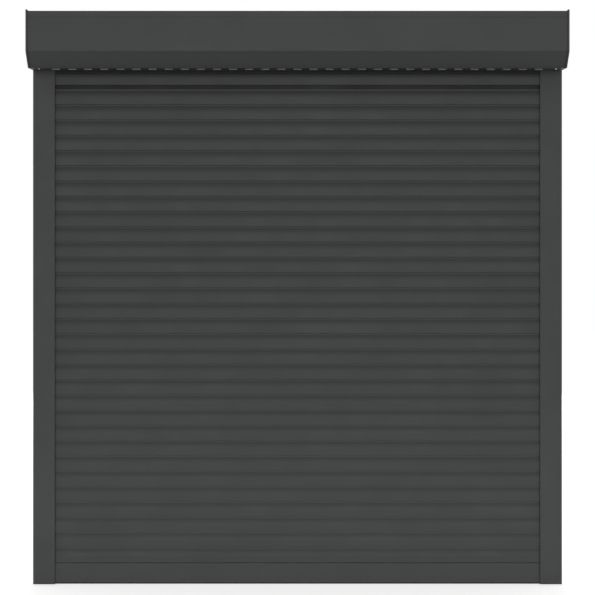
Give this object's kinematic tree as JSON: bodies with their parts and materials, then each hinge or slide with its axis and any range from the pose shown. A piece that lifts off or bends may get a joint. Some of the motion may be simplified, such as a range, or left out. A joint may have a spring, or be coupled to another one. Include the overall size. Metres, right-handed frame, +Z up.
{
  "type": "exterior roller shutter",
  "caption": "Exterior roller shutter, closed: casing with chamfered front, hooked slats in side guide rails, bottom bar with rubber, winding shaft with strap pulley inside.",
  "frame": {"origin": "middle of the window opening, on the sill, in the plane of the window frame that the rails' backs lie on", "axes": "+X to the right seen from outside, +Y into the building, +Z up; the shutter's face looks along -Y"},
  "size_m": [1.4, 0.14, 1.5],
  "materials": {
    "coated_aluminium": "satin powder coat, anthracite grey",
    "coated_slat": "satin coil coat, anthracite grey",
    "bright_screw": "zinc-plated",
    "black_rubber": "matt",
    "black_plastic": "matt",
    "grey_plastic": "matt",
    "zinc_steel": "galvanised",
    "spring_steel": "blank spring steel",
    "bearing_steel": "ground"
  },
  "bodies": {
    "casing": {"end_cap_left": "coated_aluminium", "end_cap_right": "coated_aluminium", "top_back_cover": "coated_aluminium", "front_cover": "coated_aluminium", "run_in_strip": "black_plastic", "casing_screws": "bright_screw", "guide_rail_left": "coated_aluminium", "guide_rail_right": "coated_aluminium", "guide_seals_left": "black_rubber", "guide_seals_right": "black_rubber", "run_in_funnel_left": "black_plastic", "run_in_funnel_right": "black_plastic", "bearing_outer_left": "bearing_steel", "bearing_outer_right": "bearing_steel", "strap_outlet": "grey_plastic", "curtain_hangers": "spring_steel"},
    "bottom_bar": {"bottom_bar": "coated_aluminium", "bottom_bar_seal": "black_rubber", "bar_plug_left": "black_plastic", "bar_plug_right": "black_plastic"},
    "shaft": {"winding_shaft": "zinc_steel", "drive_cap": "grey_plastic", "idler_cap": "grey_plastic", "strap_pulley": "grey_plastic", "bearing_inner_left": "bearing_steel", "bearing_inner_right": "bearing_steel"},
    "strap_roller_lower": {"strap_roller_lower": "grey_plastic"},
    "strap_roller_upper": {"strap_roller_upper": "grey_plastic"},
    "slat_01": {"slat_01": "coated_slat"},
    "slat_02": {"slat_02": "coated_slat"},
    "slat_03": {"slat_03": "coated_slat"},
    "slat_04": {"slat_04": "coated_slat"},
    "slat_05": {"slat_05": "coated_slat"},
    "slat_06": {"slat_06": "coated_slat"},
    "slat_07": {"slat_07": "coated_slat"},
    "slat_08": {"slat_08": "coated_slat"},
    "slat_09": {"slat_09": "coated_slat"},
    "slat_10": {"slat_10": "coated_slat"},
    "slat_11": {"slat_11": "coated_slat"},
    "slat_12": {"slat_12": "coated_slat"},
    "slat_13": {"slat_13": "coated_slat"},
    "slat_14": {"slat_14": "coated_slat"},
    "slat_15": {"slat_15": "coated_slat"},
    "slat_16": {"slat_16": "coated_slat"},
    "slat_17": {"slat_17": "coated_slat"},
    "slat_18": {"slat_18": "coated_slat"},
    "slat_19": {"slat_19": "coated_slat"},
    "slat_20": {"slat_20": "coated_slat"},
    "slat_21": {"slat_21": "coated_slat"},
    "slat_22": {"slat_22": "coated_slat"},
    "slat_23": {"slat_23": "coated_slat"},
    "slat_24": {"slat_24": "coated_slat"},
    "slat_25": {"slat_25": "coated_slat"},
    "slat_26": {"slat_26": "coated_slat"},
    "slat_27": {"slat_27": "coated_slat"},
    "slat_28": {"slat_28": "coated_slat"},
    "slat_29": {"slat_29": "coated_slat"},
    "slat_30": {"slat_30": "coated_slat"},
    "slat_31": {"slat_31": "coated_slat"},
    "slat_32": {"slat_32": "coated_slat"}
  },
  "joints": [
    {"name": "curtain_lift", "type": "slide", "parent": "casing", "child": "bottom_bar", "axis": [0, 0, 1], "range_m": [0, 1.296], "deforming": ["curtain_hangers", "slat_01", "slat_02", "slat_03", "slat_04", "slat_05", "slat_06", "slat_07", "slat_08", "slat_09", "slat_10", "slat_11", "slat_12", "slat_13", "slat_14", "slat_15", "slat_16", "slat_17", "slat_18", "slat_19", "slat_20", "slat_21", "slat_22", "slat_23", "slat_24", "slat_25", "slat_26", "slat_27", "slat_28", "slat_29", "slat_30", "slat_31", "slat_32"]},
    {"name": "shaft_turn", "type": "hinge", "parent": "casing", "child": "shaft", "pos_m": [0, -0.0685, 1.4285], "axis": [1, 0, 0], "range_deg": [0, 1764]},
    {"name": "slat_01_lift", "type": "slide", "parent": "casing", "child": "slat_01", "axis": [0, 0, 1], "range_m": [0, 0.1143]},
    {"name": "slat_02_lift", "type": "slide", "parent": "casing", "child": "slat_02", "axis": [0, 0, 1], "range_m": [0, 0.16371]},
    {"name": "slat_03_lift", "type": "slide", "parent": "casing", "child": "slat_03", "axis": [0, 0, 1], "range_m": [0, 0.20171]},
    {"name": "slat_04_lift", "type": "slide", "parent": "casing", "child": "slat_04", "axis": [0, 0, 1], "range_m": [0, 0.23971]},
    {"name": "slat_05_lift", "type": "slide", "parent": "casing", "child": "slat_05", "axis": [0, 0, 1], "range_m": [0, 0.27771]},
    {"name": "slat_06_lift", "type": "slide", "parent": "casing", "child": "slat_06", "axis": [0, 0, 1], "range_m": [0, 0.31571]},
    {"name": "slat_07_lift", "type": "slide", "parent": "casing", "child": "slat_07", "axis": [0, 0, 1], "range_m": [0, 0.35371]},
    {"name": "slat_08_lift", "type": "slide", "parent": "casing", "child": "slat_08", "axis": [0, 0, 1], "range_m": [0, 0.39171]},
    {"name": "slat_09_lift", "type": "slide", "parent": "casing", "child": "slat_09", "axis": [0, 0, 1], "range_m": [0, 0.42971]},
    {"name": "slat_10_lift", "type": "slide", "parent": "casing", "child": "slat_10", "axis": [0, 0, 1], "range_m": [0, 0.46771]},
    {"name": "slat_11_lift", "type": "slide", "parent": "casing", "child": "slat_11", "axis": [0, 0, 1], "range_m": [0, 0.50571]},
    {"name": "slat_12_lift", "type": "slide", "parent": "casing", "child": "slat_12", "axis": [0, 0, 1], "range_m": [0, 0.54371]},
    {"name": "slat_13_lift", "type": "slide", "parent": "casing", "child": "slat_13", "axis": [0, 0, 1], "range_m": [0, 0.58171]},
    {"name": "slat_14_lift", "type": "slide", "parent": "casing", "child": "slat_14", "axis": [0, 0, 1], "range_m": [0, 0.61971]},
    {"name": "slat_15_lift", "type": "slide", "parent": "casing", "child": "slat_15", "axis": [0, 0, 1], "range_m": [0, 0.65771]},
    {"name": "slat_16_lift", "type": "slide", "parent": "casing", "child": "slat_16", "axis": [0, 0, 1], "range_m": [0, 0.69571]},
    {"name": "slat_17_lift", "type": "slide", "parent": "casing", "child": "slat_17", "axis": [0, 0, 1], "range_m": [0, 0.73371]},
    {"name": "slat_18_lift", "type": "slide", "parent": "casing", "child": "slat_18", "axis": [0, 0, 1], "range_m": [0, 0.77171]},
    {"name": "slat_19_lift", "type": "slide", "parent": "casing", "child": "slat_19", "axis": [0, 0, 1], "range_m": [0, 0.80971]},
    {"name": "slat_20_lift", "type": "slide", "parent": "casing", "child": "slat_20", "axis": [0, 0, 1], "range_m": [0, 0.84771]},
    {"name": "slat_21_lift", "type": "slide", "parent": "casing", "child": "slat_21", "axis": [0, 0, 1], "range_m": [0, 0.8857]},
    {"name": "slat_22_lift", "type": "slide", "parent": "casing", "child": "slat_22", "axis": [0, 0, 1], "range_m": [0, 0.9237]},
    {"name": "slat_23_lift", "type": "slide", "parent": "casing", "child": "slat_23", "axis": [0, 0, 1], "range_m": [0, 0.9617]},
    {"name": "slat_24_lift", "type": "slide", "parent": "casing", "child": "slat_24", "axis": [0, 0, 1], "range_m": [0, 0.9997]},
    {"name": "slat_25_lift", "type": "slide", "parent": "casing", "child": "slat_25", "axis": [0, 0, 1], "range_m": [0, 1.0377]},
    {"name": "slat_26_lift", "type": "slide", "parent": "casing", "child": "slat_26", "axis": [0, 0, 1], "range_m": [0, 1.0757]},
    {"name": "slat_27_lift", "type": "slide", "parent": "casing", "child": "slat_27", "axis": [0, 0, 1], "range_m": [0, 1.1137]},
    {"name": "slat_28_lift", "type": "slide", "parent": "casing", "child": "slat_28", "axis": [0, 0, 1], "range_m": [0, 1.1517]},
    {"name": "slat_29_lift", "type": "slide", "parent": "casing", "child": "slat_29", "axis": [0, 0, 1], "range_m": [0, 1.1897]},
    {"name": "slat_30_lift", "type": "slide", "parent": "casing", "child": "slat_30", "axis": [0, 0, 1], "range_m": [0, 1.2277]},
    {"name": "slat_31_lift", "type": "slide", "parent": "casing", "child": "slat_31", "axis": [0, 0, 1], "range_m": [0, 1.2657]},
    {"name": "slat_32_lift", "type": "slide", "parent": "casing", "child": "slat_32", "axis": [0, 0, 1], "range_m": [0, 1.296]},
    {"name": "strap_roller_lower_turn", "type": "hinge", "parent": "casing", "child": "strap_roller_lower", "pos_m": [0.6858, -0.0056, 1.388], "axis": [1, 0, 0], "continuous": true},
    {"name": "strap_roller_upper_turn", "type": "hinge", "parent": "casing", "child": "strap_roller_upper", "pos_m": [0.6858, -0.0056, 1.4], "axis": [1, 0, 0], "continuous": true}
  ],
  "couplings": [
    {"joint": "shaft_turn", "follows": "curtain_lift", "rad_per_m": 23.756},
    {"joint": "slat_01_lift", "follows": "curtain_lift", "ratio": 0.088194},
    {"joint": "slat_02_lift", "follows": "curtain_lift", "ratio": 0.12631},
    {"joint": "slat_03_lift", "follows": "curtain_lift", "ratio": 0.15563},
    {"joint": "slat_04_lift", "follows": "curtain_lift", "ratio": 0.18495},
    {"joint": "slat_05_lift", "follows": "curtain_lift", "ratio": 0.21427},
    {"joint": "slat_06_lift", "follows": "curtain_lift", "ratio": 0.2436},
    {"joint": "slat_07_lift", "follows": "curtain_lift", "ratio": 0.27292},
    {"joint": "slat_08_lift", "follows": "curtain_lift", "ratio": 0.30224},
    {"joint": "slat_09_lift", "follows": "curtain_lift", "ratio": 0.33156},
    {"joint": "slat_10_lift", "follows": "curtain_lift", "ratio": 0.36088},
    {"joint": "slat_11_lift", "follows": "curtain_lift", "ratio": 0.3902},
    {"joint": "slat_12_lift", "follows": "curtain_lift", "ratio": 0.41952},
    {"joint": "slat_13_lift", "follows": "curtain_lift", "ratio": 0.44884},
    {"joint": "slat_14_lift", "follows": "curtain_lift", "ratio": 0.47816},
    {"joint": "slat_15_lift", "follows": "curtain_lift", "ratio": 0.50748},
    {"joint": "slat_16_lift", "follows": "curtain_lift", "ratio": 0.53681},
    {"joint": "slat_17_lift", "follows": "curtain_lift", "ratio": 0.56613},
    {"joint": "slat_18_lift", "follows": "curtain_lift", "ratio": 0.59545},
    {"joint": "slat_19_lift", "follows": "curtain_lift", "ratio": 0.62477},
    {"joint": "slat_20_lift", "follows": "curtain_lift", "ratio": 0.65409},
    {"joint": "slat_21_lift", "follows": "curtain_lift", "ratio": 0.68341},
    {"joint": "slat_22_lift", "follows": "curtain_lift", "ratio": 0.71273},
    {"joint": "slat_23_lift", "follows": "curtain_lift", "ratio": 0.74205},
    {"joint": "slat_24_lift", "follows": "curtain_lift", "ratio": 0.77137},
    {"joint": "slat_25_lift", "follows": "curtain_lift", "ratio": 0.80069},
    {"joint": "slat_26_lift", "follows": "curtain_lift", "ratio": 0.83001},
    {"joint": "slat_27_lift", "follows": "curtain_lift", "ratio": 0.85934},
    {"joint": "slat_28_lift", "follows": "curtain_lift", "ratio": 0.88866},
    {"joint": "slat_29_lift", "follows": "curtain_lift", "ratio": 0.91798},
    {"joint": "slat_30_lift", "follows": "curtain_lift", "ratio": 0.9473},
    {"joint": "slat_31_lift", "follows": "curtain_lift", "ratio": 0.97662},
    {"joint": "slat_32_lift", "follows": "curtain_lift", "ratio": 1}
  ]
}
